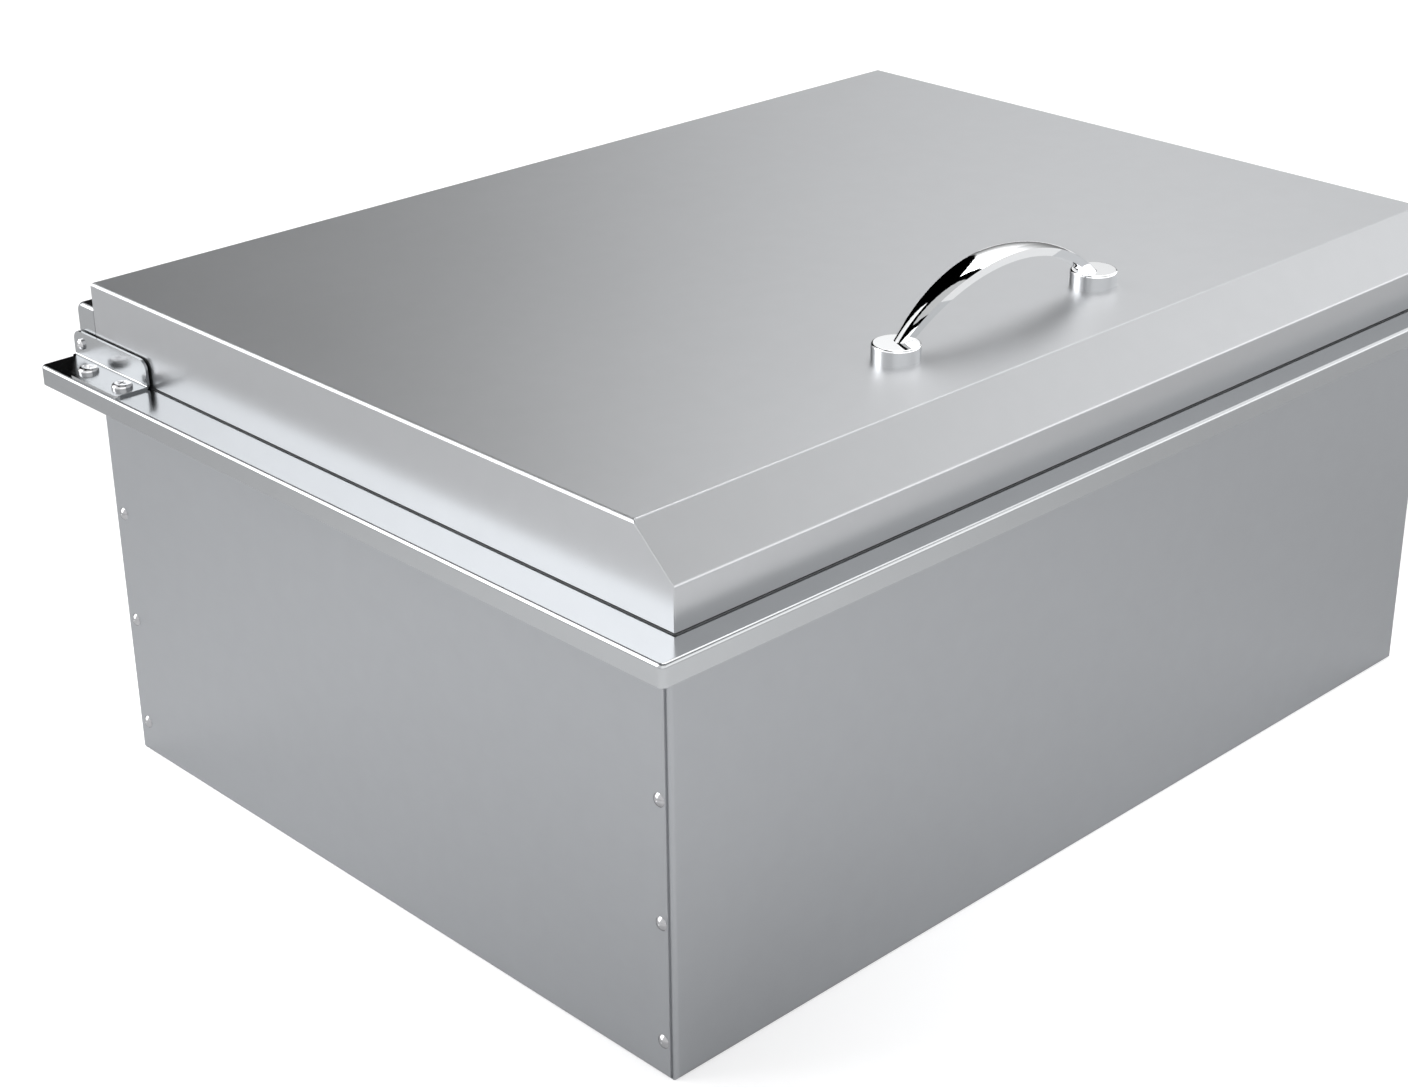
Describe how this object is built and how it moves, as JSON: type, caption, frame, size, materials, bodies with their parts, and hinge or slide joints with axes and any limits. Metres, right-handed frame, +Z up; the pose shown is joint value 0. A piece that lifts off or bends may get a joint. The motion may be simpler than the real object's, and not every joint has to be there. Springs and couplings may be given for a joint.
{
  "type": "drop-in ice bin",
  "caption": "Insulated stainless ice bin that drops into a bar top, with a rim flange, a drain and a hinged lid with an arched handle.",
  "frame": {"origin": "on the base plane, below the middle of the rim's outline", "axes": "+X to the right along the long front, +Y to the rear, where the lid is hinged, +Z up"},
  "size_m": [0.6842, 0.5062, 0.3355],
  "materials": {
    "rim_steel": "bright satin",
    "tub_steel": "satin",
    "panel_steel": "satin",
    "rivet_steel": "bright",
    "foam": "closed-cell foam",
    "drain_steel": "polished",
    "drain_brass": "as turned",
    "rubber": "matt",
    "bracket_steel": "satin",
    "fastener_steel": "polished",
    "nylon": "matt",
    "lid_steel": "satin",
    "liner_steel": "satin",
    "handle_chrome": "mirror polished"
  },
  "bodies": {
    "bin": {"rim_frame": "rim_steel", "inner_tub": "tub_steel", "front_panel": "panel_steel", "rear_panel": "panel_steel", "left_side_panel": "panel_steel", "right_side_panel": "panel_steel", "bottom_panel": "panel_steel", "left_rivets": "rivet_steel", "right_rivets": "rivet_steel", "tub_insulation": "foam", "drain_body": "drain_steel", "drain_strainer": "drain_steel", "drain_locknut": "drain_brass", "drain_gasket": "rubber", "drain_washer": "rubber", "left_hinge_bracket": "bracket_steel", "right_hinge_bracket": "bracket_steel", "left_bracket_screws": "fastener_steel", "right_bracket_screws": "fastener_steel", "left_bracket_nuts": "fastener_steel", "right_bracket_nuts": "fastener_steel", "left_pivot_pin": "fastener_steel", "right_pivot_pin": "fastener_steel", "left_pivot_washer": "nylon", "right_pivot_washer": "nylon"},
    "lid": {"lid_cover": "lid_steel", "lid_liner": "liner_steel", "lid_insulation": "foam", "left_hinge_ear": "bracket_steel", "right_hinge_ear": "bracket_steel", "handle_bow": "handle_chrome", "left_handle_foot": "handle_chrome", "right_handle_foot": "handle_chrome", "handle_screws": "fastener_steel", "handle_washers": "fastener_steel", "lid_bumpers": "rubber"},
    "plug": {"drain_plug": "rubber", "plug_pull": "drain_steel"}
  },
  "joints": [
    {"name": "lid_hinge", "type": "hinge", "parent": "bin", "child": "lid", "pos_m": [0, 0.24275, 0.2572], "axis": [-1, 0, 0], "range_deg": [0, 105]},
    {"name": "plug_pull_out", "type": "slide", "parent": "bin", "child": "plug", "axis": [0, 0, 1], "range_m": [0, 0.08]}
  ]
}
